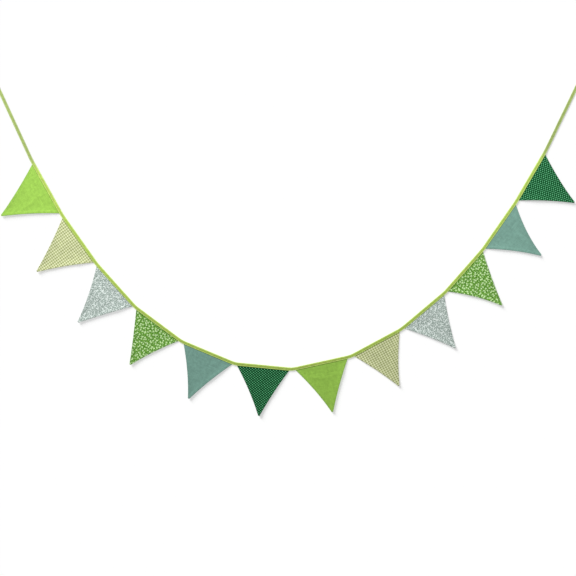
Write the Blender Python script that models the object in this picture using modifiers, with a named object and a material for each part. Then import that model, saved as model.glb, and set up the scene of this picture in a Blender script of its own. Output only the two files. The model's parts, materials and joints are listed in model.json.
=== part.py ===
"""Fabric bunting: twelve cloth flags under one folded binding tape, lying flat in a deep curve.

Metres, +Z up. The surface it lies on is z = 0, +X runs along the bunting from its first flag to its last, +Y points
to the open side of the curve, and the origin is under the middle of its box. The tape is one strip folded lengthwise
over the flags' top edges, and its two bare ends are the ties.
"""

import math
from collections import namedtuple

import bmesh
import bpy

COLLECTION = "fabric_bunting"
MM = 0.001

CLOTH = 1.0 * MM  # one flag (two cottons sewn and turned), and one leaf of the tape
PIECE_GAP = 0.3 * MM

TAPE_WIDTH = 9.2 * MM  # from its fold to its stitched edge
TIE_LENGTH = 300 * MM
TIE_BEND = 24 * MM  # stretch of each tie, next to its flag, that turns to the tie's own heading
FIRST_TIE_HEADING = -65.3
LAST_TIE_HEADING = 64.3
LEAVES_CLOSE_IN = 6 * MM  # length in which the tape closes beyond a flag's sewn-in corner

TUCK = 7.2 * MM  # how far a flag's top edge reaches into the tape
SETTLE = 24 * MM  # length in which a flag comes down from the tape to the surface
CURL_REACH = 34 * MM  # width of the border that lifts along a flag's side
TIP_REACH = 50 * MM
TIP_RADIUS = 3.4 * MM

FLAG_COLUMNS = 10
FLAG_ROWS = 12
TIP_ROWS = 3  # rows of faces round the blunt tip, out of FLAG_ROWS
GAP_STEPS = 6
FOLD_STEPS = 4

# One row for each flag, in the order in which the tape passes them. The heading is the tape's there, in degrees from
# +X. The tip shift is along that heading. A bow is how far the middle of a side lies outside a straight one, and a
# lift is how far a side or the tip stands off the surface. "First" is the side that the tape reaches first.
Flag = namedtuple(
    "Flag",
    "cloth heading width_mm drop_mm tip_shift_mm first_bow_mm last_bow_mm"
    " first_lift_mm last_lift_mm tip_lift_mm gap_after_mm",
)
FLAGS = [
    Flag("lime_cotton", -60.9, 163, 151, 5, -3.0, -3.5, 1.0, 3.0, 1.5, 17),
    Flag("gingham_cotton", -54.8, 158, 150, 5, -3.0, -3.5, 1.5, 2.5, 2.5, 14),
    Flag("sprig_cotton", -48.1, 157, 149, 7, -5.0, -1.5, 1.0, 3.0, 2.0, 15),
    Flag("ditsy_cotton", -36.6, 153, 139, 4, -1.0, -4.0, 2.0, 2.5, 3.0, 18),
    Flag("sage_cotton", -22.7, 153, 141, -2, -4.5, -3.5, 1.5, 3.0, 2.5, 15),
    Flag("pindot_cotton", -5.5, 153, 140, 1, -4.0, -3.0, 1.0, 3.0, 3.0, 19),
    Flag("lime_cotton", 12.4, 155, 142, 1, -4.5, -3.0, 1.5, 3.5, 2.0, 21),
    Flag("gingham_cotton", 28.3, 150, 137, -1, -3.0, -4.0, 2.5, 1.5, 3.0, 18),
    Flag("sprig_cotton", 40.1, 151, 138, 1, -3.0, -3.0, 3.0, 1.0, 2.5, 15),
    Flag("ditsy_cotton", 48.6, 155, 144, -3, -6.0, -2.5, 3.5, 1.5, 3.0, 11),
    Flag("sage_cotton", 55.2, 156, 144, -1, -5.0, -7.5, 3.0, 1.0, 2.0, 15),
    Flag("pindot_cotton", 59.8, 155, 143, -1, -3.5, -4.0, 3.0, 1.5, 2.5, 0),
]

COLORS = {
    "lime_cotton": "98C84C",
    "gingham_cotton": "C3CA9A",
    "sprig_cotton": "BCC8BF",
    "ditsy_cotton": "86B15D",
    "sage_cotton": "749C8C",
    "pindot_cotton": "2F7044",
    "binding_cotton": "A4C463",
}
COTTON_ROUGHNESS = 0.9

# A place on the flags' seam line, which is the tape's stitched edge: x, y, heading in radians, and how far the
# tape's two leaves stand apart there, from the middle of one to the middle of the other.
Station = namedtuple("Station", "x y heading leaf_gap")

OPEN_LEAVES = 2 * CLOTH + 2 * PIECE_GAP
CLOSED_LEAVES = CLOTH + PIECE_GAP


def smooth(value):
    """0 below 0, 1 above 1, and a soft step between."""
    value = min(max(value, 0.0), 1.0)
    return value * value * (3 - 2 * value)


def curl(distance, reach):
    """1 at an edge, falling softly to 0 at the reach from it."""
    return max(0.0, 1 - distance / reach) ** 2


def linear(hex_color):
    """A screen colour as the linear red, green, blue and alpha that a shader takes."""
    screen = [int(hex_color[i : i + 2], 16) / 255 for i in (0, 2, 4)]
    return [c / 12.92 if c <= 0.04045 else ((c + 0.055) / 1.055) ** 2.4 for c in screen] + [1.0]


def cotton(name):
    """The plain material of one of the cottons, made once."""
    material = bpy.data.materials.get(name)
    if material is None:
        material = bpy.data.materials.new(name)
        material.use_nodes = True
        shader = material.node_tree.nodes["Principled BSDF"]
        shader.inputs["Base Color"].default_value = linear(COLORS[name])
        shader.inputs["Roughness"].default_value = COTTON_ROUGHNESS
        shader.inputs["Metallic"].default_value = 0.0
    return material


def walk(x, y, heading, turn, length, steps):
    """Steps along an even bend, or a straight run where the turn is 0: yields each x, y and heading."""
    step = length / steps
    for i in range(steps):
        middle = heading + turn * (i + 0.5) / steps
        x += step * math.cos(middle)
        y += step * math.sin(middle)
        yield x, y, heading + turn * (i + 1) / steps


def side_slopes(flag):
    """How much wider a flag gets on its first and last side for each metre towards the tape."""
    half, shift, drop = flag.width_mm / 2, flag.tip_shift_mm, flag.drop_mm
    return (half + shift) / drop, (half - shift) / drop


def leaf_gap(distance):
    """How far apart the tape's leaves stand at this distance outside the nearest flag's sewn-in corner."""
    return OPEN_LEAVES - (OPEN_LEAVES - CLOSED_LEAVES) * smooth(distance / LEAVES_CLOSE_IN)


def lay_out():
    """The tape's stations, and each flag's start on the seam line, from the first tie to the last."""
    heading = math.radians(FIRST_TIE_HEADING)
    stations = [Station(0.0, 0.0, heading, CLOSED_LEAVES)]
    starts = []
    x, y = 0.0, 0.0
    corner = 0.0
    for x, y, heading in walk(x, y, heading, 0.0, TIE_LENGTH - TIE_BEND, 2):
        stations.append(Station(x, y, heading, CLOSED_LEAVES))
    rest = TIE_BEND
    for i, flag in enumerate(FLAGS):
        turn = math.radians(flag.heading) - heading
        first_slope, last_slope = side_slopes(flag)
        first_corner = TUCK * first_slope
        done = 0.0
        for x, y, heading in walk(x, y, heading, turn, rest, GAP_STEPS):
            done += rest / GAP_STEPS
            outside = min(done - corner if i else math.inf, rest - done - first_corner)
            stations.append(Station(x, y, heading, leaf_gap(outside)))
        starts.append((x, y, heading))
        for x, y, heading in walk(x, y, heading, 0.0, flag.width_mm * MM, 2):
            stations.append(Station(x, y, heading, OPEN_LEAVES))
        corner = TUCK * last_slope
        rest = flag.gap_after_mm * MM
    turn = math.radians(LAST_TIE_HEADING) - heading
    done = 0.0
    for x, y, heading in walk(x, y, heading, turn, TIE_BEND, GAP_STEPS):
        done += TIE_BEND / GAP_STEPS
        stations.append(Station(x, y, heading, leaf_gap(done - corner)))
    for x, y, heading in walk(x, y, heading, 0.0, TIE_LENGTH - TIE_BEND, 2):
        stations.append(Station(x, y, heading, CLOSED_LEAVES))
    return stations, starts


def sheet_object(name, bm, offset, cloth, collection):
    """Makes an object of a sheet's grid, gives it the cloth's thickness, and puts it in the collection."""
    mesh = bpy.data.meshes.new(name)
    bm.to_mesh(mesh)
    bm.free()
    mesh.materials.append(cotton(cloth))
    mesh.shade_smooth()
    mesh.set_sharp_from_angle(angle=math.radians(40))
    obj = bpy.data.objects.new(name, mesh)
    collection.objects.link(obj)
    thickness = obj.modifiers.new("cloth thickness", "SOLIDIFY")
    thickness.thickness = CLOTH
    thickness.offset = offset
    thickness.use_even_offset = True
    return obj


def grid(columns, rows, place):
    """A grid of columns by rows of faces, each point put where place(column, row) says."""
    bm = bmesh.new()
    bmesh.ops.create_grid(bm, x_segments=columns, y_segments=rows, size=1)
    for vert in bm.verts:
        column = round((vert.co.x + 1) / 2 * columns)
        row = round((vert.co.y + 1) / 2 * rows)
        vert.co = place(column, row)
    bmesh.ops.recalc_face_normals(bm, faces=bm.faces)
    return bm


def tape_point(station, column):
    """A point across the folded tape: column 0 is the lower leaf's stitched edge, the last one the upper leaf's."""
    radius = station.leaf_gap / 2
    fold = TAPE_WIDTH - CLOTH / 2 - radius
    low = CLOTH / 2
    if column == 0:
        inward, z = 0.0, low
    elif column == FOLD_STEPS + 2:
        inward, z = 0.0, low + station.leaf_gap
    else:
        angle = math.pi * ((column - 1) / FOLD_STEPS - 0.5)
        inward = fold + radius * math.cos(angle)
        z = low + radius + radius * math.sin(angle)
    x = station.x - inward * math.sin(station.heading)
    y = station.y + inward * math.cos(station.heading)
    return x, y, z


def make_tape(stations, collection):
    """The binding: one strip, folded lengthwise, open round each flag's top edge and closed everywhere else."""
    bm = grid(FOLD_STEPS + 2, len(stations) - 1, lambda column, row: tape_point(stations[row], column))
    return sheet_object("binding_tape", bm, 0.0, "binding_cotton", collection)


def flag_rows(drop):
    """How far below the tape each row of a flag's points lies, from its tucked-in top edge to its tip."""
    body_rows = FLAG_ROWS - TIP_ROWS
    body = drop - TIP_RADIUS
    rows = [-TUCK, PIECE_GAP]
    rows += [PIECE_GAP + (body - PIECE_GAP) * i / (body_rows - 1) for i in range(1, body_rows)]
    rows += [body + TIP_RADIUS * math.sin(math.pi / 2 * i / TIP_ROWS) for i in range(1, TIP_ROWS + 1)]
    return rows


def flag_sides(flag, down):
    """Where a flag's first and last side lie at this depth, along the heading from the flag's middle."""
    half, shift, drop = flag.width_mm * MM / 2, flag.tip_shift_mm * MM, flag.drop_mm * MM
    body = drop - TIP_RADIUS
    if down <= body:
        along = down / body
        bow = 4 * max(along, 0.0) * (1 - along) * MM
        first = -half + along * (half + shift - TIP_RADIUS) - flag.first_bow_mm * bow
        last = half - along * (half - shift - TIP_RADIUS) + flag.last_bow_mm * bow
        return first, last
    radius = math.sqrt(max(TIP_RADIUS**2 - (down - body) ** 2, (0.3 * TIP_RADIUS) ** 2))
    return shift - radius, shift + radius


def flag_height(flag, across, down):
    """How high a flag's underside lies: in the tape's fold, down to the surface, then up at its sides and tip."""
    first, last = flag_sides(flag, down)
    in_tape = (CLOTH + PIECE_GAP) * (1 - smooth(down / SETTLE))
    free = smooth(down / SETTLE - 0.2)
    drop = flag.drop_mm * MM
    lift = math.hypot(
        flag.first_lift_mm * curl(across - first, CURL_REACH),
        flag.last_lift_mm * curl(last - across, CURL_REACH),
        flag.tip_lift_mm * curl(drop - down, TIP_REACH),
    )
    return in_tape + free * lift * MM


def make_flag(number, flag, start, collection):
    """One flag: a triangle with a blunt tip and slightly bowed sides, its top edge inside the tape's fold."""
    x, y, heading = start
    rows = flag_rows(flag.drop_mm * MM)

    def place(column, row):
        down = rows[row]
        first, last = flag_sides(flag, down)
        across = first + (last - first) * column / FLAG_COLUMNS
        along = flag.width_mm * MM / 2 + across
        return (
            x + along * math.cos(heading) + down * math.sin(heading),
            y + along * math.sin(heading) - down * math.cos(heading),
            flag_height(flag, across, down),
        )

    bm = grid(FLAG_COLUMNS, FLAG_ROWS, place)
    if sum(face.normal.z for face in bm.faces) < 0:
        bmesh.ops.reverse_faces(bm, faces=bm.faces)
    return sheet_object(f"flag_{number:02d}", bm, 1.0, flag.cloth, collection)


def centre_on_origin(objects):
    """Puts the middle of the whole bunting's box over the origin, by moving every mesh by the same amount."""
    points = [vert.co for obj in objects for vert in obj.data.vertices]
    middle_x = (min(p.x for p in points) + max(p.x for p in points)) / 2
    middle_y = (min(p.y for p in points) + max(p.y for p in points)) / 2
    for point in points:
        point.x -= middle_x
        point.y -= middle_y


def main():
    for obj in list(bpy.data.objects):
        bpy.data.objects.remove(obj, do_unlink=True)
    collection = bpy.data.collections.new(COLLECTION)
    bpy.context.scene.collection.children.link(collection)
    stations, starts = lay_out()
    objects = [make_tape(stations, collection)]
    for number, (flag, start) in enumerate(zip(FLAGS, starts), start=1):
        objects.append(make_flag(number, flag, start, collection))
    centre_on_origin(objects)


main()
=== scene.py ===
"""Fabric bunting lying flat in a deep curve: twelve turned cotton flags under one folded, stitched binding.

The packed solids give every place and size. What is made here is the cloth itself: each flag's two cottons,
sewn, turned and pressed, the bias strip folded over their top edges, and the stitching that holds them.
"""

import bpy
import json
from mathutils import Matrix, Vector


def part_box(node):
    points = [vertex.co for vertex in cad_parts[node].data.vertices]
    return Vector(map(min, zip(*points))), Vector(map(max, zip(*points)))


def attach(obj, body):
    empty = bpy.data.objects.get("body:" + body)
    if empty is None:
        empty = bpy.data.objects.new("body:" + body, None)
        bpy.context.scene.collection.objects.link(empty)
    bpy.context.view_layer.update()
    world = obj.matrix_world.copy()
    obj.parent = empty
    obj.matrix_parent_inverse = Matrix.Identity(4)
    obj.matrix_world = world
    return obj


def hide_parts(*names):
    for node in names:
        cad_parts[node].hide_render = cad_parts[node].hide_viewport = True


bl_info = {
    "name": "Fabric Bunting",
    "version": (1, 0, 0),
    "blender": (4, 5, 0),
    "location": "3D View > Sidebar > Bunting",
    "description": "Makes the cloth, stitching and studio of a fabric bunting round its packed solids",
    "category": "Add Mesh",
}

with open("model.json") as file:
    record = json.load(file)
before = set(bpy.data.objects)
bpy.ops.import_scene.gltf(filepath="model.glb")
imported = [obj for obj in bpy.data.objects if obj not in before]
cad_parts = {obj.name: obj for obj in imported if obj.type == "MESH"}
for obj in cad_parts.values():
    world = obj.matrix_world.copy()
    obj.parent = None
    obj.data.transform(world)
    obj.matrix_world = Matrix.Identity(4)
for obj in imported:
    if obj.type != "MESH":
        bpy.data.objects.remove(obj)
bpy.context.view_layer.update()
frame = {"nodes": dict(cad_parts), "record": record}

import json
import math
from collections import Counter, namedtuple

import bmesh
import bpy
import numpy as np
from bpy.props import FloatProperty, FloatVectorProperty, PointerProperty
from mathutils import Vector, noise
from mathutils.bvhtree import BVHTree

MM = 0.001
TAPE = "binding_tape"
FLAGS = sorted(name for name in frame["nodes"] if name.startswith("flag_"))
SLOTS = {row["node"]: row["material_slot"] for row in frame["record"]["subparts"]}
CLOTH_MAP = "cloth"  # the UV map of every sheet, in metres of flat cloth
SEAM_MARK = "seam"  # 1 over a flag's seam allowances, 0 elsewhere; the material paints a little shade there
EDGE_SHADE_MARK = "edge"  # 1 at a flag's very edge, falling to 0 just inside it; the material paints shade there
TIE_MARK = "tie"  # 1 on the binding's two bare ends, 0 over the flags
CLOTH_COLLECTION = "cloth"

MERGE = 0.01 * MM  # packed triangles share their corners to well within this
LEVEL = 0.01 * MM  # points this near in height or depth count as level
FLAT = 0.99  # a flat face's normal stands at least this upright
UPRIGHT = 0.01  # an upright face's normal rises or falls at most this far
SLOPING = 0.5  # a flag's underside is flatter than this, and its rim is steeper
PATH_STEP = 2 * MM
PATH_SOFTENING = 4  # steps on each side that a point of the path is averaged over
STRAIGHT = 20  # steps on each side that give a flag's heading
SMOOTH_BELOW = math.radians(50)  # edges sharper than this stay sharp

ROW_STEP = 1.7 * MM
FLAG_COLUMNS = 84
SIDE_CROWDING = 0.8  # how much closer the columns stand at a flag's sides, from 0 to below 1
SAMPLE_ROWS = 15
SAMPLE_COLUMNS = 11
LOWEST = 0.03 * MM  # no flag comes nearer to the surface
BACK_SHIFT = 0.37  # metres of cloth between the front's cut and the back's
BACK_TILT = 0.2  # faces whose normal points down by more than this belong to the back

SEAM_END = 1.6 * MM  # how softly the turned-in allowances end
SEAM_AT_TIP = 0.35  # share that the second allowance adds where both lie on each other
PRESSED_OUT = 0.95  # share of the allowances' thickness that the stitched binding presses out
PRESSED_REACH = 6 * MM
PRESSED_START = 0.2  # share of that reach where the pressing begins to fade
FREE_FROM = 20 * MM  # from here down a flag's own relief shows in full
RIPPLE_WIDTH = 7 * MM  # puckers along the sides, which fade out inwards
RIPPLE_REACH = 9 * MM
GATHER_WIDTH = 6 * MM  # puckers below the binding, a little stronger
GATHER_REACH = 10 * MM
GATHER_SHARE = 1.3
PUCKER_START = 3 * MM
ROUNDING = 0.55 * MM  # how far inside the rim its roundness ends
EDGE_SHADE_WIDTH = 2.2 * MM  # the painted shade, a darker line along a flag's very edge where its rounded rim turns away from the light
SWELL_WIDTH = 42 * MM

# Soft creases of the lying flags, in mm. Along runs with the tape from the flag's middle, and
# down from the tape's stitched edge. A trough has a negative height.
Crease = namedtuple("Crease", "from_along from_down to_along to_down width height")
CREASES = {
    "flag_01": [(10, 18, 22, 96, 7, 0.88), (-34, 22, -8, 74, 11, -0.56)],
    "flag_02": [(-20, 12, 4, 88, 9, 0.72), (38, 14, 20, 62, 8, -0.48)],
    "flag_03": [(26, 10, 8, 104, 10, 0.64), (-30, 24, -2, 62, 7, 0.48)],
    "flag_04": [(-12, 16, 10, 92, 9, 0.8)],
    "flag_05": [(32, 12, -4, 84, 8, 0.72), (-36, 16, -12, 68, 12, -0.56)],
    "flag_06": [(6, 14, -6, 98, 10, 0.64)],
    "flag_07": [(-42, 30, 18, 44, 9, 0.8), (22, 14, 12, 90, 8, -0.56)],
    "flag_08": [(-18, 10, -4, 82, 9, 0.72)],
    "flag_09": [(30, 16, 2, 78, 8, 0.72), (-28, 18, -10, 58, 10, -0.48)],
    "flag_10": [(8, 12, 16, 84, 9, 0.72)],
    "flag_11": [(34, 26, -26, 52, 10, -0.88), (12, 40, 2, 104, 8, 0.8)],
    "flag_12": [(-24, 12, 0, 86, 9, 0.72)],
}


def linear(hex_color):
    """A screen colour as the linear red, green, blue and alpha that a shader takes."""
    screen = [int(hex_color[i : i + 2], 16) / 255 for i in (0, 2, 4)]
    return [c / 12.92 if c <= 0.04045 else ((c + 0.055) / 1.055) ** 2.4 for c in screen] + [1.0]


def length(name, description, default_mm, low_mm, high_mm):
    """A size that the user can change, given here in mm and kept in metres."""
    sizes = {"default": default_mm * MM, "min": low_mm * MM, "max": high_mm * MM, "precision": 5}
    return FloatProperty(name=name, description=description, unit="LENGTH", subtype="DISTANCE", **sizes)


def color(name, description, hex_color):
    """A colour that the user can change, given here as a screen colour and kept linear."""
    values = {"default": linear(hex_color), "min": 0.0, "max": 1.0, "size": 4}
    return FloatVectorProperty(name=name, description=description, subtype="COLOR", **values)


def strength(name, description, default):
    """How strong a light is, as the user can change it."""
    values = {"default": default, "min": 0.0, "soft_max": 50.0, "precision": 2}
    return FloatProperty(name=name, description=description, **values)


class FlagSizes(bpy.types.PropertyGroup):
    """Sizes of a turned and pressed flag"""

    panel: length("Two cottons", "Thickness of a flag's two cottons, pressed", 0.62, 0.3, 1.0)
    allowance: length("Seam allowance", "Width of the turned-in edges", 6.5, 4, 12)
    allowance_step: length("Allowance thickness", "What the two turned-in edges add", 0.45, 0.1, 0.8)
    rim: length("Rim", "Thickness of a flag's pressed rim", 0.34, 0.2, 0.6)
    float_height: length("Float", "How high the middle of a flag floats over the surface", 0.35, 0, 1)
    swell: length("Swell", "Height of a flag's slow unevenness", 0.6, 0, 1.5)
    pucker: length("Pucker", "Height of the small ripples beside the seams", 0.2, 0, 0.5)


class BindingSizes(bpy.types.PropertyGroup):
    """Sizes of the folded binding and its stitching"""

    width: length("Width", "From the fold to the stitched edge", 9.2, 8, 16)
    ply: length("Cotton", "Thickness of the binding cotton", 0.3, 0.2, 0.4)
    ply_gap: length("Turned-in gap", "Between the middles of an outer and a turned-in layer", 0.34, 0.3, 0.5)
    turned_in: length("Turned in", "Width of the raw edges that are turned in", 6.8, 4, 9)
    stitch_line: length("Stitch line", "From the stitched edge to the row of stitches", 2.2, 1.5, 4)
    valley: length("Valley", "How far the stitches pull the binding's face down over a flag", 0.84, 0.2, 1.2)
    tie: length("Tie", "Bare length at each end", 300, 200, 600)
    unevenness: length("Unevenness", "How unevenly the binding is fed and pressed", 0.12, 0, 0.3)
    stitch_length: length("Stitch", "Length of one stitch", 3.0, 2, 5)
    stitch_gap: length("Stitch gap", "From the end of one stitch to the next", 0.5, 0.2, 1)
    thread: length("Thread", "Thickness of the sewing thread", 0.36, 0.2, 0.6)


class PrintSizes(bpy.types.PropertyGroup):
    """Repeats of the cloths' patterns"""

    thread_pitch: length("Drawn yarns", "Pitch at which the yarns of the weave are drawn", 0.8, 0.3, 2)
    check_along: length("Check along", "Repeat of the gingham along the tape", 7.3, 3, 20)
    check_down: length("Check down", "Repeat of the gingham down the flag", 6.4, 3, 20)
    dot_along: length("Dots along", "Repeat of the pin dots along the tape", 8.8, 4, 20)
    dot_down: length("Dots down", "Repeat of the pin dots down the flag", 7.3, 4, 20)
    dot_width: length("Dot", "Width of a pin dot", 2.8, 1, 6)
    sprig_pitch: length("Sprigs", "Pitch of the sprigs", 9.2, 5, 30)
    flower_pitch: length("Flowers", "Pitch of the small flowers", 8.6, 4, 30)
    flower_width: length("Flower", "Width of a small flower", 5.4, 2, 12)


class ClothColors(bpy.types.PropertyGroup):
    """Colours of the cottons, the binding and the thread"""

    lime: color("Lime", "Plain lime cotton", "93BE4F")
    sage: color("Sage", "Plain sage cotton", "759C8F")
    cream: color("Gingham ground", "Undyed yarn of the gingham", "DDE1B5")
    olive: color("Gingham check", "Dyed yarn of the gingham", "929C62")
    mist: color("Sprig ground", "Ground of the sprig print", "D8E2DD")
    slate: color("Sprig", "Sprigs, stems and berries", "8A9A92")
    meadow: color("Ditsy ground", "Ground of the small-flower print", "6DA03F")
    fern: color("Ditsy leaf", "Dark leaves of the small-flower print", "38701F")
    petal: color("Ditsy flower", "Small flowers and buds", "D2F0B4")
    bottle: color("Dot ground", "Ground of the pin-dot print", "00421D")
    dot: color("Dot", "Pin dots", "6AC48B")
    binding: color("Binding", "Binding's main band", "A8C05A")
    # The lip and fold colours are paler: wear together with painted highlight.
    binding_lip: color("Binding lip", "Binding beside the stitched edge", "B1CC66")
    binding_fold: color("Binding fold", "Crest of the binding's fold", "A8C25C")
    thread: color("Thread", "Sewing thread", "D0E08E")


class StudioSettings(bpy.types.PropertyGroup):
    """Paper and light round the bunting"""

    paper: color("Paper", "White paper that the bunting lies on", "F3F3F3")
    paper_glow: strength("Paper glow", "Light that comes through the paper", 0.42)
    room_light: strength("Room light", "Even light from all round", 0.26)
    key_light: strength("Key light", "Softbox at the upper left that throws the paper's shadows", 3.2)
    cloth_light: strength("Cloth light", "Long softbox beyond the top of the curve, for the cloth", 49.0)


GROUPS = {
    "bunting_flags": FlagSizes,
    "bunting_binding": BindingSizes,
    "bunting_prints": PrintSizes,
    "bunting_colors": ClothColors,
    "bunting_studio": StudioSettings,
}


def smooth(value):
    """0 below 0, 1 above 1, and a soft step between."""
    value = np.clip(value, 0.0, 1.0)
    return value * value * (3 - 2 * value)


def through(x, values, at):
    """Smooth curves through the values given at x, read at other places."""
    slopes = np.gradient(values, x, axis=0)
    start = np.clip(np.searchsorted(x, at, side="right") - 1, 0, len(x) - 2)
    shape = (-1,) + (1,) * (values.ndim - 1)
    step = (x[start + 1] - x[start]).reshape(shape)
    t = (at - x[start]).reshape(shape) / step
    ease = t * t * (3 - 2 * t)
    leave = t * (1 - t) ** 2 * step * slopes[start]
    arrive = t * t * (t - 1) * step * slopes[start + 1]
    return values[start] * (1 - ease) + values[start + 1] * ease + leave + arrive


def read_at(at, x, values):
    """Each column of the values given at x, read at other places in a straight line between them."""
    return np.stack([np.interp(at, x, column) for column in values.T], axis=1)


def wander(x, y, swell, seed):
    """Soft noise from about -1 to 1 at each place, with one hill for about each swell."""
    x, y = np.broadcast_arrays(x, y)
    places = zip(x.ravel(), y.ravel())
    values = [noise.noise(Vector((a / swell, b / swell, seed))) for a, b in places]
    return np.array(values).reshape(x.shape)


def numbers(items, name, width, kind=float):
    """One property of all the points, faces or corners of a mesh, with a row of numbers for each."""
    values = np.empty(len(items) * width, dtype=kind)
    items.foreach_get(name, values)
    return values.reshape(-1, width)


def merged(node):
    """A copy of a packed solid with its loose triangles joined; the node's own mesh stays as it is."""
    bm = bmesh.new()
    bm.from_mesh(frame["nodes"][node].data)
    bmesh.ops.remove_doubles(bm, verts=bm.verts, dist=MERGE)
    bm.normal_update()
    return bm


# The tape's stitched edge, a point for each step: the length run, the place, the direction towards the fold,
# and the height of the packed tape's top there.
Path = namedtuple("Path", "run place inward top")


def softened(values):
    """A running average that keeps both ends where they are."""
    reach = np.arange(1, PATH_SOFTENING + 1)[:, None]
    before = values[0] - (values[1] - values[0]) * reach[::-1]
    after = values[-1] + (values[-1] - values[-2]) * reach
    padded = np.concatenate([before, values, after])
    window = 2 * PATH_SOFTENING + 1
    even = np.ones(window) / window
    return np.stack([np.convolve(column, even, mode="valid") for column in padded.T], axis=1)


def read_path():
    """Follows the packed tape's stitched edge, where its flat underside meets an upright edge."""
    bm = merged(TAPE)
    tree = BVHTree.FromBMesh(bm)
    met = Counter()
    for edge in bm.edges:
        tilts = sorted(face.normal.z for face in edge.link_faces)
        on_surface = max(vert.co.z for vert in edge.verts) < LEVEL
        if on_surface and tilts[0] < -FLAT and abs(tilts[1]) < UPRIGHT:
            met.update(edge.verts)
    corners = np.array(sorted(tuple(vert.co.xy) for vert, edges in met.items() if edges > 1))
    bm.free()
    if len(corners) < len(FLAGS):
        raise RuntimeError("The packed tape shows no stitched edge to follow")
    lengths = np.concatenate([[0], np.cumsum(np.linalg.norm(np.diff(corners, axis=0), axis=1))])
    run = np.linspace(0, lengths[-1], round(lengths[-1] / PATH_STEP) + 1)
    place = softened(read_at(run, lengths, corners))
    ahead = np.gradient(place, axis=0)
    ahead /= np.linalg.norm(ahead, axis=1, keepdims=True)
    inward = np.stack([-ahead[:, 1], ahead[:, 0]], axis=1)
    middle = place + inward * bpy.context.scene.bunting_binding.width / 2
    on_tape = np.clip(run, MM, run[-1] - MM)
    middle = read_at(on_tape, run, middle)
    top = [tree.ray_cast(Vector((x, y, 1)), Vector((0, 0, -1)))[0].z for x, y in middle]
    return Path(run, place, inward, softened(np.array(top)[:, None])[:, 0])


def only(obj):
    """Selects one object and makes it active."""
    bpy.ops.object.select_all(action="DESELECT")
    obj.select_set(True)
    bpy.context.view_layer.objects.active = obj


def thicken(obj, name, **settings):
    """Gives a sheet its thickness, and applies it before the next step."""
    modifier = obj.modifiers.new(name, "SOLIDIFY")
    for setting, value in settings.items():
        setattr(modifier, setting, value)
    only(obj)
    bpy.ops.object.modifier_apply(modifier=name)


def in_collection(obj, name):
    """Moves an object to the collection of this name, made if need be, and returns the collection."""
    collection = bpy.data.collections.get(name)
    if collection is None:
        collection = bpy.data.collections.new(name)
        bpy.context.scene.collection.children.link(collection)
    for other in list(obj.users_collection):
        other.objects.unlink(obj)
    collection.objects.link(obj)
    return collection


def keep_piece(obj, name, material):
    """Names a finished piece, dresses it, makes it ride on the bunting and puts it with the other cloth."""
    obj.name = name
    obj.data.name = name
    obj.data.materials.clear()
    obj.data.materials.append(material)
    only(obj)
    bpy.ops.object.shade_smooth_by_angle(angle=SMOOTH_BELOW)
    in_collection(obj, CLOTH_COLLECTION)
    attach(obj, "root")


def lay_grid(points, across, along):
    """A grid of faces through rows of points, with a cloth map from the two lengths given for each point.

    It returns the grid, and the row and column of each of its points.
    """
    rows, columns = points.shape[:2]
    bpy.ops.object.select_all(action="DESELECT")
    bpy.ops.mesh.primitive_grid_add(x_subdivisions=columns - 1, y_subdivisions=rows - 1, size=2)
    obj = bpy.context.object
    mesh = obj.data
    flat = numbers(mesh.vertices, "co", 3)
    column = np.rint((flat[:, 0] + 1) / 2 * (columns - 1)).astype(int)
    row = np.rint((1 - flat[:, 1]) / 2 * (rows - 1)).astype(int)
    mesh.vertices.foreach_set("co", points[row, column].ravel())
    corner = numbers(mesh.loops, "vertex_index", 1, int)[:, 0]
    cloth = np.stack([across[row, column], along[row, column]], axis=1)[corner]
    layer = mesh.uv_layers.active
    layer.name = CLOTH_MAP
    layer.uv.foreach_set("vector", cloth.ravel())
    mesh.update()
    return obj, row, column


def put_weights(obj, name, weights):
    """A vertex group with one weight for each point."""
    group = obj.vertex_groups.new(name=name)
    for index, weight in enumerate(weights):
        group.add([index], float(weight), "REPLACE")
    return group


def put_mark(obj, name, values):
    """A number on each point that a material can read."""
    mark = obj.data.attributes.new(name, "FLOAT", "POINT")
    mark.data.foreach_set("value", values.astype(np.float32))


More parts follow.
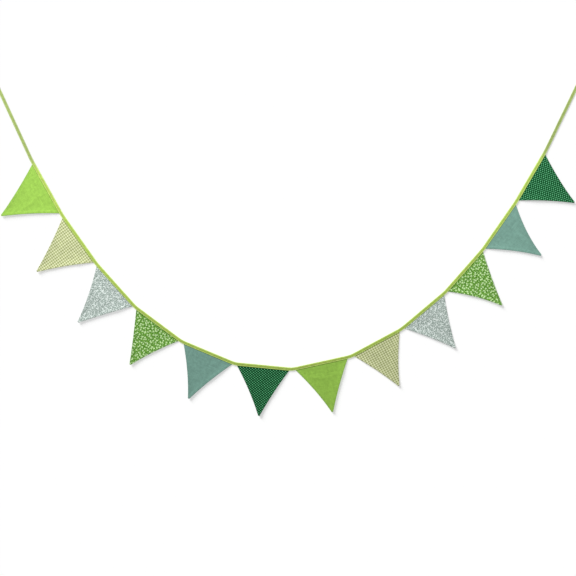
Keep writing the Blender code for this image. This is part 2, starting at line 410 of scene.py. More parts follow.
class FlagPlace:
    """Where one packed flag lies: its heading, its two sides and the height of its underside."""

    def __init__(self, node, path):
        bm = merged(node)
        self.tree = BVHTree.FromBMesh(bm)
        under = [vert for vert in bm.verts if any(face.normal.z < -SLOPING for face in vert.link_faces)]
        rim = [vert for vert in under if any(abs(face.normal.z) < SLOPING for face in vert.link_faces)]
        outline = np.array([vert.co.xy for vert in rim])
        bm.free()
        foot = int(np.argmin(np.linalg.norm(path.place - outline.mean(axis=0), axis=1)))
        heading = path.place[foot + STRAIGHT] - path.place[foot - STRAIGHT]
        self.ahead = heading / np.linalg.norm(heading)
        self.down = np.array([self.ahead[1], -self.ahead[0]])
        self.origin = path.place[foot]
        along, down = (outline - self.origin) @ self.ahead, (outline - self.origin) @ self.down
        self.top, self.drop = down.min(), down.max()
        corners = along[down < self.top + LEVEL]
        self.origin = self.origin + self.ahead * corners.mean()
        along = along - corners.mean()
        tip = down > self.drop - LEVEL
        tip_middle = along[tip].mean()
        middle = tip_middle * (down - self.top) / (self.drop - self.top)
        self.first = self.side(along, down, along < middle, tip, min)
        self.last = self.side(along, down, along > middle, tip, max)

    @staticmethod
    def side(along, down, chosen, tip, outer):
        """One side's points, from the top edge to the tip, as depths and places along the heading."""
        kept = chosen & ~tip
        order = np.argsort(down[kept])
        depths = np.append(down[kept][order], down[tip].mean())
        places = np.append(along[kept][order], outer(along[tip]))
        return depths, places

    def sides(self, rows):
        """Where the flag's first and last side lie at these depths."""
        return np.interp(rows, *self.first), np.interp(rows, *self.last)

    def world(self, along, down):
        """The place on the surface of points given along the tape and down from its stitched edge."""
        return self.origin + along[..., None] * self.ahead + down[..., None] * self.down

    def underside(self, rows, across):
        """Heights of the packed underside, read at a few places and drawn smooth between them."""
        few_rows = np.linspace(self.top + LEVEL, self.drop - MM, SAMPLE_ROWS)
        few_across = np.linspace(0.01, 0.99, SAMPLE_COLUMNS)
        first, last = self.sides(few_rows)
        along = first[:, None] + (last - first)[:, None] * few_across
        places = self.world(along, np.broadcast_to(few_rows[:, None], along.shape))
        heights = np.empty(along.shape)
        for index in np.ndindex(along.shape):
            x, y = places[index]
            hit = self.tree.ray_cast(Vector((x, y, -1)), Vector((0, 0, 1)))[0]
            if hit is None:
                raise RuntimeError("A packed flag has a hole in its underside")
            heights[index] = hit.z
        heights = through(few_rows, heights, rows)
        return through(few_across, heights.T, across).T


def crease_height(node, along, down):
    """The listed creases of one flag, as heights."""
    total = np.zeros(along.shape)
    for crease in map(Crease._make, CREASES[node]):
        start = np.array([crease.from_along, crease.from_down]) * MM
        line = np.array([crease.to_along, crease.to_down]) * MM - start
        t = ((along - start[0]) * line[0] + (down - start[1]) * line[1]) / (line @ line)
        aside = ((along - start[0]) * line[1] - (down - start[1]) * line[0]) / np.linalg.norm(line)
        fade = smooth(t * 3 + 0.5) * smooth((1 - t) * 3 + 0.5)
        total += crease.height * MM * np.exp(-((aside / (crease.width * MM)) ** 2)) * fade
    return total


def row_depths(place):
    """The depths of a flag's rows of points: even steps, and finer ones round the tip."""
    knots = np.unique(np.round(np.concatenate([place.first[0], [0.0]]), 6))
    rows = [
        np.linspace(start, end, max(2, math.ceil((end - start) / ROW_STEP)), endpoint=False)
        for start, end in zip(knots[:-1], knots[1:])
    ]
    return np.append(np.concatenate(rows), knots[-1])


def make_flag(node, path, material):
    """One flag: two cottons sewn on two sides, turned and pressed, thicker over the turned-in edges."""
    sizes = bpy.context.scene.bunting_flags
    place = FlagPlace(node, path)
    seed = FLAGS.index(node) * 7.3
    rows = row_depths(place)
    even = np.linspace(0, 1, FLAG_COLUMNS + 1)
    across = even - SIDE_CROWDING * np.sin(2 * math.pi * even) / (2 * math.pi)
    first, last = place.sides(rows)
    along = first[:, None] + (last - first)[:, None] * across
    down = np.broadcast_to(rows[:, None], along.shape)

    slants = [np.hypot(1, np.gradient(side, rows))[:, None] for side in (first, last)]
    from_sides = (along - first[:, None]) / slants[0], (last[:, None] - along) / slants[1]
    from_rim = np.minimum(np.minimum(*from_sides), place.drop - down)
    free = smooth(down / FREE_FROM)

    bands = [1 - smooth((aside - sizes.allowance) / SEAM_END) for aside in from_sides]
    seam = np.maximum(*bands)
    sewn_in = 1 - PRESSED_OUT * (1 - smooth(down / PRESSED_REACH - PRESSED_START))
    thick = sizes.panel + sizes.allowance_step * sewn_in * (seam + SEAM_AT_TIP * np.minimum(*bands) * free)
    ripples = sum(
        wander(down, side * 0.5, RIPPLE_WIDTH, seed + side) * np.exp(-aside / RIPPLE_REACH)
        for side, aside in enumerate(from_sides, start=1)
    )
    gathers = wander(along, down * 0.25, GATHER_WIDTH, seed + 3) * np.exp(-np.maximum(down, 0) / GATHER_REACH)
    thick = thick + sizes.pucker * smooth(down / PUCKER_START) * (ripples + GATHER_SHARE * gathers)
    turned = np.sqrt(1 - (1 - np.clip(from_rim / ROUNDING, 0, 1)) ** 2)
    whole, thick = thick, sizes.rim + (thick - sizes.rim) * turned

    swells = wander(along, down, SWELL_WIDTH, seed)
    relief = sizes.float_height + sizes.swell * swells + crease_height(node, along, down)
    height = np.maximum(place.underside(rows, across) + free * relief, LOWEST) + (whole - thick) / 2
    points = np.concatenate([place.world(along, down), height[..., None]], axis=-1)
    obj, row, column = lay_grid(points, along, -down)

    thickest = thick.max()
    # Painted shade: the material darkens the seam allowances a little.
    put_mark(obj, SEAM_MARK, seam[row, column])
    # Painted shade: the material darkens this line along the flag's very edge.
    put_mark(obj, EDGE_SHADE_MARK, (1 - smooth(from_rim / EDGE_SHADE_WIDTH))[row, column])
    weights = put_weights(obj, "thickness", (thick / thickest)[row, column])
    thicken(obj, "two cottons", thickness=thickest, offset=1.0, vertex_group=weights.name, use_rim=True)
    cut_back_panel(obj.data)
    keep_piece(obj, "cloth_" + node, material)
    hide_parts(node)


def cut_back_panel(mesh):
    """The back is another cut of the same cloth, so its cloth map is turned over and moved."""
    faces_down = numbers(mesh.polygons, "normal", 3)[:, 2] < -BACK_TILT
    back = np.repeat(faces_down, numbers(mesh.polygons, "loop_total", 1, int)[:, 0])
    layer = mesh.uv_layers[CLOTH_MAP]
    cloth = numbers(layer.uv, "vector", 2)
    cloth[back, 0] = BACK_SHIFT - cloth[back, 0]
    layer.uv.foreach_set("vector", cloth.ravel())


LOWER_SHARE = 0.17  # how far the stitches pull the lower face up, as a share of the binding's height
LOWER_DROP = 0.11 * MM
LOWER_LEAST = 0.1 * MM
LIP_RISE = 0.2  # how far the face comes up again from the stitches to the stitched edge
LIP_REACH = 1.6 * MM
CROWN_REACH = 3.0 * MM  # from the stitches to where the crown stands in full
FACE_PLACES = (-0.4, 0.0, 0.4, 1.4, 3.2)  # across an outer layer, in mm from the stitches
TURNED_IN_PLACES = (1.8, 0.7, 0.0, -1.4)  # across a turned-in layer, in mm from the stitches
FOLD_TURNS = (54, 18, -18, -54)  # places round the fold, in degrees
EDGE_TURNS = (-55, 0, 55)  # places round each turned edge
TIE_BLEND = 50 * MM  # length over which the ties' greyness begins


def binding_faces(path):
    """Heights of the folded binding's upper and lower outer face at its stitch line."""
    sizes = bpy.context.scene.bunting_binding
    valley = sizes.valley * path.top / path.top.max()
    upper = path.top - valley + sizes.unevenness * wander(path.run, 0, 9 * MM, seed=51.0)
    lower = LOWER_SHARE * path.top - LOWER_DROP
    lower = lower + 0.5 * sizes.unevenness * wander(path.run, 0, 11 * MM, seed=57.0)
    return upper, np.maximum(lower, LOWER_LEAST)


def binding_section(path):
    """The binding's cotton in section, at each step: distances inside the stitched edge, and heights.

    It runs from the raw edge turned in under the upper face, round the stitched edge, over the crown to the
    fold, and back the same way below.
    """
    sizes = bpy.context.scene.bunting_binding
    steps = len(path.run)
    crown = path.top + 0.8 * sizes.unevenness * wander(path.run, 0, 13 * MM, seed=61.0)
    upper, lower = binding_faces(path)
    ply, gap = sizes.ply, sizes.ply_gap
    stitch = sizes.stitch_line
    fold_middle, fold_radius = sizes.width - crown / 2, (crown - ply) / 2

    def rise(inside):
        """How far the face stands up from the valley of the stitch line, from 0 to 1."""
        return smooth((inside - stitch) / CROWN_REACH) + LIP_RISE * smooth((stitch - inside) / LIP_REACH)

    def face(inside, is_upper):
        return upper + (crown - upper) * rise(inside) if is_upper else lower * (1 - rise(inside))

    outer = [0.5 * MM, 1.5 * MM] + [stitch + place * MM for place in FACE_PLACES]
    inner = [sizes.turned_in] + [stitch + place * MM for place in TURNED_IN_PLACES]
    turns = np.radians(EDGE_TURNS)
    inside, heights = [], []

    def put(distance, height):
        inside.append(np.broadcast_to(distance, steps))
        heights.append(np.broadcast_to(height, steps))

    for is_upper in (True, False):
        sign = 1 if is_upper else -1
        half = []
        for distance in inner:
            half.append((distance, face(distance, is_upper) - sign * (ply / 2 + gap)))
        edge = face(outer[0], is_upper) - sign * (ply + gap) / 2
        for turn in turns:
            half.append(((ply + gap) / 2 - gap / 2 * math.cos(turn), edge + sign * gap / 2 * math.sin(turn)))
        for distance in outer:
            half.append((distance, face(distance, is_upper) - sign * ply / 2))
        half.append((fold_middle, (crown - ply / 2) if is_upper else np.full(steps, ply / 2)))
        for distance, height in half[::sign]:
            put(distance, height)
        if is_upper:
            for turn in np.radians(FOLD_TURNS):
                put(fold_middle + fold_radius * math.cos(turn), crown / 2 + fold_radius * math.sin(turn))
    return np.stack(inside, axis=1), np.stack(heights, axis=1)


def make_binding(path, material):
    """The binding: one bias strip, its raw edges turned in, folded lengthwise over the flags' top edges."""
    sizes = bpy.context.scene.bunting_binding
    inside, heights = binding_section(path)
    inside = inside + sizes.unevenness * wander(path.run, 0, 55 * MM, seed=71.0)[:, None]
    places = path.place[:, None] + path.inward[:, None] * inside[..., None]
    points = np.concatenate([places, heights[..., None]], axis=-1)
    spans = np.hypot(np.diff(inside, axis=1), np.diff(heights, axis=1)).mean(axis=0)
    across = np.concatenate([[0], np.cumsum(spans)])
    across -= across[-1] / 2
    shape = points.shape[:2]
    run = np.broadcast_to(path.run[:, None], shape)
    obj, row, column = lay_grid(points[::-1], np.broadcast_to(across, shape), run[::-1])
    from_end = np.minimum(run, path.run[-1] - run)
    on_tie = smooth((sizes.tie - from_end) / TIE_BLEND + 0.5)
    put_mark(obj, TIE_MARK, on_tie[::-1][row, column])
    thicken(obj, "cotton", thickness=sizes.ply, offset=0.0, use_rim=True)
    keep_piece(obj, "binding_cloth", material)
    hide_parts(TAPE)


STITCH_PINCH = 0.45  # share of the thread's thickness that is lost at a stitch's ends
STITCH_DIP = 0.6  # thread thicknesses that the ends go down into the cloth
STITCH_LIFT = 0.1  # thread thicknesses that a stitch's middle stands off the cloth
STITCH_LOWEST = 0.02 * MM  # no stitch comes nearer to the surface


def stitch_form():
    """One stitch, modelled once: a short run of thread along X whose ends dip into the cloth."""
    sizes = bpy.context.scene.bunting_binding
    span = sizes.stitch_length - sizes.stitch_gap
    bpy.ops.object.select_all(action="DESELECT")
    lying = (0, math.radians(90), 0)
    bpy.ops.mesh.primitive_cylinder_add(vertices=6, radius=sizes.thread / 2, depth=span, rotation=lying)
    obj = bpy.context.object
    bpy.ops.object.transform_apply(location=False, rotation=True, scale=False)
    bpy.ops.object.mode_set(mode="EDIT")
    bpy.ops.mesh.select_all(action="DESELECT")
    bm = bmesh.from_edit_mesh(obj.data)
    for edge in bm.edges:
        ends = [vert.co.x for vert in edge.verts]
        edge.select_set(abs(ends[0] - ends[1]) > span / 2)
    bmesh.update_edit_mesh(obj.data)
    bpy.ops.mesh.subdivide(number_cuts=3)
    bpy.ops.object.mode_set(mode="OBJECT")
    for vert in obj.data.vertices:
        toward_end = abs(vert.co.x) / (span / 2)
        pinch = 1 - STITCH_PINCH * toward_end**4
        vert.co.y *= pinch
        vert.co.z = vert.co.z * pinch - STITCH_DIP * sizes.thread * toward_end**3
    return obj


def sew(form, stitches):
    """Points and faces of one stitch copied to its places: a face of the binding, and the length run."""
    local = numbers(form.data.vertices, "co", 3)
    points = [on_face(run + local[:, 0], local[:, 1], local[:, 2]) for on_face, run in stitches]
    faces = [
        [index * len(local) + vertex for vertex in polygon.vertices]
        for index in range(len(stitches))
        for polygon in form.data.polygons
    ]
    return np.concatenate(points), faces


def make_stitching(path, material):
    """The lockstitch row along the whole binding, on both its faces."""
    sizes = bpy.context.scene.bunting_binding
    form = stitch_form()
    upper, lower = binding_faces(path)
    lift = STITCH_LIFT * sizes.thread

    def on_path(run, inside, height):
        place = read_at(run, path.run, path.place) + read_at(run, path.run, path.inward) * inside[:, None]
        return np.column_stack([place, height])

    def top(run, side, up):
        height = np.interp(run, path.run, upper) + lift + up
        return on_path(run, sizes.stitch_line + side, height)

    def bottom(run, side, up):
        height = np.interp(run, path.run, lower) - lift - up
        return on_path(run, sizes.stitch_line - side, np.maximum(height, STITCH_LOWEST))

    runs = np.arange(sizes.stitch_length, path.run[-1] - sizes.stitch_length / 2, sizes.stitch_length)
    points, faces = sew(form, [(on_face, run) for on_face in (top, bottom) for run in runs])
    bpy.data.objects.remove(form)
    mesh = bpy.data.meshes.new("binding_stitches")
    mesh.from_pydata(points.tolist(), [], faces)
    obj = bpy.data.objects.new("binding_stitches", mesh)
    bpy.context.scene.collection.objects.link(obj)
    keep_piece(obj, "binding_stitches", material)


def fill(tree, node, inputs):
    """Sets a node's inputs, each to a value or to another node's output."""
    for socket, value in inputs.items():
        if isinstance(value, bpy.types.NodeSocket):
            tree.links.new(value, node.inputs[socket])
        else:
            node.inputs[socket].default_value = value


def add(tree, kind, inputs=(), output=0, **settings):
    """Adds a node with its settings and inputs, and returns one of its outputs."""
    node = tree.nodes.new("ShaderNode" + kind)
    for name, value in settings.items():
        setattr(node, name, value)
    fill(tree, node, dict(inputs))
    return node.outputs[output]


def start_material(name):
    """A new material, with its node tree and its shader."""
    material = bpy.data.materials.new(name)
    material.use_nodes = True
    tree = material.node_tree
    return material, tree, tree.nodes["Principled BSDF"]


def cloth_mm(tree, turn=0.0):
    """The cloth map in mm, turned for cloth that is cut on the bias."""
    cloth = add(tree, "UVMap", uv_map=CLOTH_MAP)
    mm = add(tree, "VectorMath", {0: cloth, "Scale": 1 / MM}, operation="SCALE")
    return add(tree, "VectorRotate", {"Vector": mm, "Angle": turn}, rotation_type="Z_AXIS")


def plain_weave(tree, mm):
    """Yarns going over and under each other: the height of the cloth, and 1 where the warp lies on top."""
    pitch = bpy.context.scene.bunting_prints.thread_pitch / MM
    angles = add(tree, "VectorMath", {0: mm, "Scale": math.pi / pitch}, operation="SCALE")
    split = add(tree, "SeparateXYZ", {0: angles}).node
    waves = [add(tree, "Math", {0: split.outputs[axis]}, operation="SINE") for axis in ("X", "Y")]
    crossing = add(tree, "Math", {0: waves[0], 1: waves[1]}, operation="MULTIPLY")
    over = add(tree, "Math", {0: crossing, 1: 0.0}, operation="GREATER_THAN")
    warp, weft = (add(tree, "Math", {0: wave}, operation="ABSOLUTE") for wave in waves)
    return add(tree, "Mix", {0: over, 2: weft, 3: warp}), over


# Real sizes in the cottons, in mm.
SLUB_LONG, SLUB_WIDE = 45, 1.6
DYE_BLOTCH = 9
INK_EDGE = 0.15  # how softly a printed edge ends, on each side


def yarn_slubs(tree, mm):
    """Thick and thin stretches of single yarns, both ways of the cloth, round 0.5."""
    ways = []
    for scale in ((1 / SLUB_LONG, 1 / SLUB_WIDE, 1), (1 / SLUB_WIDE, 1 / SLUB_LONG, 1)):
        stretched = add(tree, "VectorMath", {0: mm, 1: scale}, operation="MULTIPLY")
        single = {"Vector": stretched, "Scale": 1.0, "Detail": 2.0}
        ways.append(add(tree, "TexNoise", single, noise_dimensions="2D"))
    return add(tree, "Mix", {0: 0.5, 2: ways[0], 3: ways[1]})


def mixed(tree, share, first, second):
    """The first colour where the share is 0, the second where it is 1."""
    return add(tree, "Mix", {0: share, 6: first, 7: second}, output=2, data_type="RGBA")


def gingham_paint(tree, mm, over):
    """Yarn-dyed checks: each yarn keeps its own colour, so where one way alone is dyed it is half-tone."""
    prints, colors = bpy.context.scene.bunting_prints, bpy.context.scene.bunting_colors
    split = add(tree, "SeparateXYZ", {0: mm}).node
    stripes = []
    for axis, repeat in (("X", prints.check_along), ("Y", prints.check_down)):
        count = add(tree, "Math", {0: split.outputs[axis], 1: repeat / MM}, operation="DIVIDE")
        part = add(tree, "Math", {0: count}, operation="FRACT")
        stripes.append(add(tree, "Math", {0: part, 1: 0.5}, operation="GREATER_THAN"))
    half_tone = add(tree, "Mix", {0: 0.5, 2: stripes[0], 3: stripes[1]})
    yarns = add(tree, "Mix", {0: over, 2: stripes[1], 3: stripes[0]})
    share = add(tree, "Mix", {0: 0.5, 2: half_tone, 3: yarns})
    return mixed(tree, share, colors.cream, colors.olive)


def pindot_paint(tree, mm, over):
    """Round dots in staggered rows, printed a little unevenly."""
    prints, colors = bpy.context.scene.bunting_prints, bpy.context.scene.bunting_colors
    half = (prints.dot_along / MM / 2, prints.dot_down / MM / 2, 1)
    slow = {"Vector": mm, "Scale": 0.5, "Detail": 0.0}
    waver = add(tree, "TexNoise", slow, output="Color", noise_dimensions="2D")
    waver = add(tree, "VectorMath", {0: waver, 1: (0.5, 0.5, 0.5)}, operation="SUBTRACT")
    loose = add(tree, "VectorMath", {0: waver, 1: (0.5, 0.5, 0), 2: mm}, operation="MULTIPLY_ADD")
    distances = []
    for share in (0, 1):
        moved = add(tree, "VectorMath", {0: loose, 1: (half[0] * share, half[1] * share, 0)}, operation="ADD")
        cell = add(tree, "VectorMath", {0: moved, 1: half, 2: (-half[0], -half[1], -1)}, operation="WRAP")
        distances.append(add(tree, "VectorMath", {0: cell}, output=1, operation="LENGTH"))
    nearest = add(tree, "Math", {0: distances[0], 1: distances[1]}, operation="MINIMUM")
    radius = prints.dot_width / MM / 2
    dot = add(tree, "MapRange", {0: nearest, 1: radius + INK_EDGE, 2: radius - INK_EDGE})
    return mixed(tree, dot, colors.bottle, colors.dot)


def scattered(tree, mm, pitch_mm, start):
    """Places round the nearest of many loosely scattered motifs, each turned its own way, in mm."""
    moved = add(tree, "VectorMath", {0: mm, 1: (start, start * 1.7, 0)}, operation="ADD")
    spots = {"Vector": moved, "Scale": 1 / pitch_mm, "Randomness": 0.75}
    spot = add(tree, "TexVoronoi", spots, output="Position", voronoi_dimensions="2D")
    local = add(tree, "VectorMath", {0: moved, 1: spot}, operation="SUBTRACT")
    chance = add(tree, "SeparateColor", {0: spot.node.outputs["Color"]})
    turn = add(tree, "Math", {0: chance, 1: 2 * math.pi}, operation="MULTIPLY")
    return add(tree, "VectorRotate", {"Vector": local, "Angle": turn}, rotation_type="Z_AXIS")


def oval(tree, local, x, y, turn, long_mm, wide_mm):
    """1 inside an oval leaf, berry or bud at this place of a motif, and 0 outside."""
    where = {"Vector": local, "Location": (x, y, 0), "Rotation": (0, 0, math.radians(turn))}
    inside = add(tree, "Mapping", {**where, "Scale": (long_mm / 2, wide_mm / 2, 1)}, vector_type="TEXTURE")
    reach = add(tree, "VectorMath", {0: inside}, output=1, operation="LENGTH")
    return add(tree, "MapRange", {0: reach, 1: 1.12, 2: 0.88})


def either(tree, shapes):
    """1 wherever any of the shapes is."""
    whole = shapes[0]
    for shape in shapes[1:]:
        whole = add(tree, "Math", {0: whole, 1: shape}, operation="MAXIMUM")
    return whole


def bearing(tree, local):
    """The direction in which a place lies from the middle of its motif."""
    split = add(tree, "SeparateXYZ", {0: local}).node
    return add(tree, "Math", {0: split.outputs["Y"], 1: split.outputs["X"]}, operation="ARCTAN2")


def curled_stem(tree, local, radius, width):
    """1 on a thin stem that curls three quarters of the way round, and 0 elsewhere."""
    reach = add(tree, "VectorMath", {0: local}, output=1, operation="LENGTH")
    aside = add(tree, "Math", {0: reach, 1: radius}, operation="SUBTRACT")
    aside = add(tree, "Math", {0: aside}, operation="ABSOLUTE")
    line = add(tree, "MapRange", {0: aside, 1: width / 2 + INK_EDGE, 2: width / 2 - INK_EDGE})
    turned = add(tree, "Math", {0: bearing(tree, local)}, operation="ABSOLUTE")
    shown = add(tree, "Math", {0: turned, 1: 2.3}, operation="LESS_THAN")
    return add(tree, "Math", {0: line, 1: shown}, operation="MULTIPLY")


def sprig_paint(tree, mm, over):
    """Small curled sprigs with leaves and berries, scattered close together."""
    prints, colors = bpy.context.scene.bunting_prints, bpy.context.scene.bunting_colors
    pitch = prints.sprig_pitch / MM
    curls = scattered(tree, mm, pitch, 3.0)
    leaves = scattered(tree, mm, pitch * 0.62, 41.0)
    shapes = [
        curled_stem(tree, curls, 2.7, 1.5),
        oval(tree, curls, -3.2, 2.6, 40, 4.0, 2.2),
        oval(tree, curls, -3.0, -2.8, -50, 3.6, 2.0),
        oval(tree, curls, 0.0, 0.0, 0, 2.0, 2.0),
        oval(tree, leaves, 0.6, 0.9, 30, 3.8, 1.8),
        oval(tree, leaves, -0.4, -1.2, -35, 3.2, 1.6),
    ]
    return mixed(tree, either(tree, shapes), colors.mist, colors.slate)


def ditsy_paint(tree, mm, over):
    """Small five-petalled flowers, buds and dark leaves, scattered on a mid green."""
    prints, colors = bpy.context.scene.bunting_prints, bpy.context.scene.bunting_colors
    pitch, radius = prints.flower_pitch / MM, prints.flower_width / MM / 2
    flowers = scattered(tree, mm, pitch, 11.0)
    sprays = scattered(tree, mm, pitch * 0.7, 67.0)
    reach = add(tree, "VectorMath", {0: flowers}, output=1, operation="LENGTH")
    turns = add(tree, "Math", {0: bearing(tree, flowers), 1: 5.0}, operation="MULTIPLY")
    wave = add(tree, "Math", {0: turns}, operation="COSINE")
    petals = add(tree, "Math", {0: wave, 1: 0.22 * radius, 2: 0.78 * radius}, operation="MULTIPLY_ADD")
    beyond = add(tree, "Math", {0: reach, 1: petals}, operation="SUBTRACT")
    flower = add(tree, "MapRange", {0: beyond, 1: INK_EDGE, 2: -INK_EDGE})
    heart = add(tree, "MapRange", {0: reach, 1: 0.75, 2: 0.5})
    leaves = [oval(tree, sprays, 1.3, 0.4, 20, 3.8, 2.0), oval(tree, sprays, -1.2, 0.9, 140, 3.4, 1.8)]
    leaf = either(tree, leaves)
    bud = oval(tree, sprays, 0.2, -1.8, 0, 1.7, 1.5)
    ground = mixed(tree, leaf, colors.meadow, colors.fern)
    ground = mixed(tree, bud, ground, colors.petal)
    ground = mixed(tree, flower, ground, colors.petal)
    return mixed(tree, heart, ground, colors.meadow)


LIP_BLEND = 0.4  # mm on each side of where the stitched edge's paler band begins
FOLD_FADES = (1.2, 2.6)  # mm from the fold between which its paler crest fades out
TIE_SATURATION = 0.86
TIE_BRIGHTNESS = 0.66


def binding_paint(tree, mm, over):
    """Bias binding, paler along its fold and stitched edges, which is wear together with painted highlight,
    and darker and greyer on the two ties.
    """
    colors, sizes = bpy.context.scene.bunting_colors, bpy.context.scene.bunting_binding
    cloth = add(tree, "UVMap", uv_map=CLOTH_MAP)
    split = add(tree, "SeparateXYZ", {0: cloth}).node
    aside = add(tree, "Math", {0: split.outputs["X"]}, operation="ABSOLUTE")
    mm_aside = add(tree, "Math", {0: aside, 1: 1 / MM}, operation="MULTIPLY")
    stitched = (sizes.width - sizes.stitch_line) / MM + LIP_BLEND
    lip = add(tree, "MapRange", {0: mm_aside, 1: stitched - LIP_BLEND, 2: stitched + LIP_BLEND})
    fold = add(tree, "MapRange", {0: mm_aside, 1: FOLD_FADES[1], 2: FOLD_FADES[0]})
    # The paler lip and fold crest are wear together with painted highlight.
    band = mixed(tree, lip, colors.binding, colors.binding_lip)
    band = mixed(tree, fold, band, colors.binding_fold)
    # The two ties are drawn darker and greyer.
    tie = add(tree, "Attribute", attribute_name=TIE_MARK, output="Fac")
    faded = add(tree, "MapRange", {0: tie, 3: 1.0, 4: TIE_SATURATION})
    greyed = add(tree, "MapRange", {0: tie, 3: 1.0, 4: TIE_BRIGHTNESS})
    return add(tree, "HueSaturation", {"Color": band, "Saturation": faded, "Value": greyed})


# What makes a cotton lighter and darker: a pattern's range, and the range of brightness that it becomes.
SLUB_SHADES = (0.3, 0.7, 0.88, 1.12)
DYE_SHADES = (0.3, 0.7, 0.92, 1.08)
# The hollow, seam and edge ranges are painted shade: the hollows between the drawn yarns, the seam allowances
# and a flag's very edge are drawn darker.
PAINTED_HOLLOW_SHADE = (0.0, 1.0, 0.93, 1.02)
PAINTED_SEAM_SHADE = (0.0, 1.0, 1.0, 0.96)
PAINTED_EDGE_SHADE = (0.0, 1.0, 1.0, 0.86)
FUZZ_SHADES = (0.3, 0.7, 0.88, 1.06)
BUMP_DEPTH = 0.08 * MM


def shaded(tree, pattern, shades):
    """A pattern turned to the brightness that it gives the cloth."""
    return add(tree, "MapRange", {0: pattern, **dict(enumerate(shades, start=1))})


def woven_cotton(name, paint, turn=0.0, marked=True):
    """Plain-woven quilting cotton, which is matt and faintly fuzzy, its yarns a little uneven.

    The real yarns lie about 0.4 mm apart. They are drawn at twice that, so that they show in a close view.
    """
    material, tree, shader = start_material(name)
    mm = cloth_mm(tree, turn)
    relief, over = plain_weave(tree, mm)
    slubs = yarn_slubs(tree, mm)
    dye = add(tree, "TexNoise", {"Vector": mm, "Scale": 1 / DYE_BLOTCH, "Detail": 3.0}, noise_dimensions="2D")
    shade = paint(tree, mm, over) if callable(paint) else paint
    # Painted shade in the hollows between the drawn yarns.
    patterns = [(dye, DYE_SHADES), (relief, PAINTED_HOLLOW_SHADE)]
    if marked:
        # Painted shade over the seam allowances and along a flag's very edge.
        for mark, shades in ((SEAM_MARK, PAINTED_SEAM_SHADE), (EDGE_SHADE_MARK, PAINTED_EDGE_SHADE)):
            patterns.append((add(tree, "Attribute", attribute_name=mark, output="Fac"), shades))
    value = shaded(tree, slubs, SLUB_SHADES)
    for pattern, shades in patterns:
        value = add(tree, "Math", {0: value, 1: shaded(tree, pattern, shades)}, operation="MULTIPLY")
    uneven = add(tree, "Math", {0: slubs, 1: 0.8, 2: relief}, operation="MULTIPLY_ADD")
    finish = {
        "Base Color": add(tree, "HueSaturation", {"Color": shade, "Value": value}),
        "Roughness": add(tree, "MapRange", {0: relief, 3: 0.95, 4: 0.8}),
        "Metallic": 0.0,
        "IOR": 1.5,
        "Specular IOR Level": 0.08,
        "Sheen Weight": 0.04,
        "Sheen Roughness": 0.45,
        "Normal": add(tree, "Bump", {"Height": uneven, "Strength": 0.6, "Distance": BUMP_DEPTH}),
    }
    fill(tree, shader, finish)
    return material


def spun_thread():
    """Spun polyester thread, a tightly twisted strand with a soft gloss that catches the light."""
    material, tree, shader = start_material("spun_polyester_thread")
    places = add(tree, "TexCoord", output="Object")
    fuzz = add(tree, "TexNoise", {"Vector": places, "Scale": 1 / (0.4 * MM), "Detail": 2.0})
    base = bpy.context.scene.bunting_colors.thread
    value = shaded(tree, fuzz, FUZZ_SHADES)
    finish = {
        "Base Color": add(tree, "HueSaturation", {"Color": base, "Value": value}),
        "Roughness": 0.6,
        "Sheen Weight": 0.2,
        "Normal": add(tree, "Bump", {"Height": fuzz, "Strength": 0.5, "Distance": BUMP_DEPTH}),
    }
    fill(tree, shader, finish)
    return material


def white_paper():
    """Matt white paper lit a little from below, which the eye takes for an even white."""
    studio = bpy.context.scene.bunting_studio
    material, tree, shader = start_material("matt_white_paper")
    finish = {
        "Base Color": studio.paper,
        "Roughness": 1.0,
        "Specular IOR Level": 0.1,
        "Emission Color": (1, 1, 1, 1),
        "Emission Strength": studio.paper_glow,
    }
    fill(tree, shader, finish)
    return material


def cottons():
    """The flags' materials, by the record's slots."""
    colors = bpy.context.scene.bunting_colors
    return {
        "lime_cotton": woven_cotton("piece_dyed_lime_cotton", tuple(colors.lime)),
        "gingham_cotton": woven_cotton("yarn_dyed_gingham_cotton", gingham_paint),
        "sprig_cotton": woven_cotton("sprig_printed_cotton", sprig_paint),
        "ditsy_cotton": woven_cotton("small_flower_printed_cotton", ditsy_paint),
        "sage_cotton": woven_cotton("piece_dyed_sage_cotton", tuple(colors.sage)),
        "pindot_cotton": woven_cotton("pin_dot_printed_cotton", pindot_paint),
    }


class BUNTING_OT_flags(bpy.types.Operator):
    """Make the twelve turned and pressed cotton flags"""

    bl_idname = "bunting.flags"
    bl_label = "Flags"

    def execute(self, context):
        path = read_path()
        materials = cottons()
        for node in FLAGS:
            make_flag(node, path, materials[SLOTS[node]])
        return {"FINISHED"}


class BUNTING_OT_binding(bpy.types.Operator):
    """Fold the bias binding over the flags' top edges and out into the two ties"""

    bl_idname = "bunting.binding"
    bl_label = "Binding"

    def execute(self, context):
        path = read_path()
        bias = math.radians(45)
        cloth = woven_cotton("bias_cut_lime_binding_cotton", binding_paint, turn=bias, marked=False)
        make_binding(path, cloth)
        return {"FINISHED"}


class BUNTING_OT_stitching(bpy.types.Operator):
    """Sew the binding with a row of stitches that shows on both its faces"""

    bl_idname = "bunting.stitching"
    bl_label = "Stitching"

    def execute(self, context):
        make_stitching(read_path(), spun_thread())
        return {"FINISHED"}


# Where three of the bunting's outermost points stand in the photo, in pixels of its 576 by 576 frame.
PICTURE = 576
FIRST_TIP_X = 1.2  # the first flag's leftmost point
LAST_TIP_X = 574.3  # the last flag's rightmost point
LOWEST_TIP_Y = 415.9  # the sixth flag's lowest point
LENS = 100.0
SENSOR = 36.0

FLOOR_SIZE = 16
# The photo's shadows fall to the right and down, and are longer than the lift of what throws them.
KEY_FROM = (-3.6, 4.8, 2.5)
KEY_SOFTNESS = math.radians(26)
SOFTBOX_PLACE = (-0.12, 1.15, 1.1)
SOFTBOX_SIZE = (2.2, 0.4)


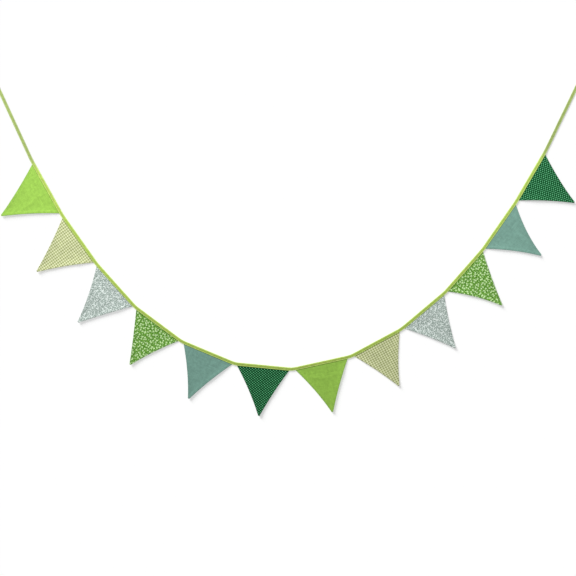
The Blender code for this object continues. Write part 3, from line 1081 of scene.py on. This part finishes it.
def aim_camera():
    """A long lens straight above, framed as the photo is."""
    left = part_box(FLAGS[0])[0].x
    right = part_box(FLAGS[-1])[1].x
    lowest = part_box(FLAGS[5])[0].y
    pixel = (right - left) / (LAST_TIP_X - FIRST_TIP_X)
    x = left + (PICTURE / 2 - FIRST_TIP_X) * pixel
    y = lowest + (LOWEST_TIP_Y - PICTURE / 2) * pixel
    distance = PICTURE * pixel * LENS / SENSOR
    bpy.ops.object.camera_add(location=(x, y, distance), rotation=(0, 0, 0))
    camera = bpy.context.object
    camera.name = "camera_above"
    camera.data.lens = LENS
    camera.data.sensor_width = SENSOR
    camera.data.clip_end = 50.0
    bpy.context.scene.camera = camera


def add_light(kind, name, location, **settings):
    """A light at a place, turned to shine at the middle of the bunting."""
    turn = (-Vector(location)).to_track_quat("-Z", "Y").to_euler()
    bpy.ops.object.light_add(type=kind, location=location, rotation=turn)
    light = bpy.context.object
    light.name = name
    for setting, value in settings.items():
        setattr(light.data, setting, value)
    return light


class BUNTING_OT_studio(bpy.types.Operator):
    """Lay the white paper, set the lights and aim the camera from straight above"""

    bl_idname = "bunting.studio"
    bl_label = "Studio"

    def execute(self, context):
        studio = context.scene.bunting_studio
        bpy.ops.object.select_all(action="DESELECT")
        bpy.ops.mesh.primitive_plane_add(size=FLOOR_SIZE, location=(0, 0, 0))
        floor = context.object
        floor.name = "paper_floor"
        floor.data.materials.append(white_paper())
        world = bpy.data.worlds.new("even_room_light")
        world.use_nodes = True
        background = world.node_tree.nodes["Background"]
        fill(world.node_tree, background, {"Color": (1, 1, 1, 1), "Strength": studio.room_light})
        context.scene.world = world
        key = add_light("SUN", "key_softbox", KEY_FROM, energy=studio.key_light, angle=KEY_SOFTNESS)
        key.light_linking.receiver_collection = in_collection(floor, "paper")
        softbox = add_light("AREA", "cloth_softbox", SOFTBOX_PLACE, energy=studio.cloth_light)
        softbox.data.shape = "RECTANGLE"
        softbox.data.size, softbox.data.size_y = SOFTBOX_SIZE
        softbox.light_linking.receiver_collection = bpy.data.collections[CLOTH_COLLECTION]
        aim_camera()
        context.scene.view_settings.view_transform = "Standard"
        return {"FINISHED"}


class BUNTING_PT_panel(bpy.types.Panel):
    """Sizes, colours and steps of the bunting"""

    bl_idname = "BUNTING_PT_panel"
    bl_label = "Fabric Bunting"
    bl_space_type = "VIEW_3D"
    bl_region_type = "UI"
    bl_category = "Bunting"

    def draw(self, context):
        steps = self.layout.column(align=True)
        for step in STEPS:
            steps.operator(step.bl_idname)
        for name, group in GROUPS.items():
            box = self.layout.box()
            box.label(text=group.__doc__)
            settings = getattr(context.scene, name)
            for setting in group.__annotations__:
                box.prop(settings, setting)


STEPS = (BUNTING_OT_flags, BUNTING_OT_binding, BUNTING_OT_stitching, BUNTING_OT_studio)
SHOWN = (*STEPS, BUNTING_PT_panel)


def register():
    for name, group in GROUPS.items():
        bpy.utils.register_class(group)
        setattr(bpy.types.Scene, name, PointerProperty(type=group))
    for shown in SHOWN:
        bpy.utils.register_class(shown)


def unregister():
    for shown in reversed(SHOWN):
        bpy.utils.unregister_class(shown)
    for name, group in reversed(GROUPS.items()):
        delattr(bpy.types.Scene, name)
        bpy.utils.unregister_class(group)


def main():
    register()
    bpy.ops.bunting.flags()
    bpy.ops.bunting.binding()
    bpy.ops.bunting.stitching()
    bpy.ops.bunting.studio()


if __name__ == "__main__":
    main()
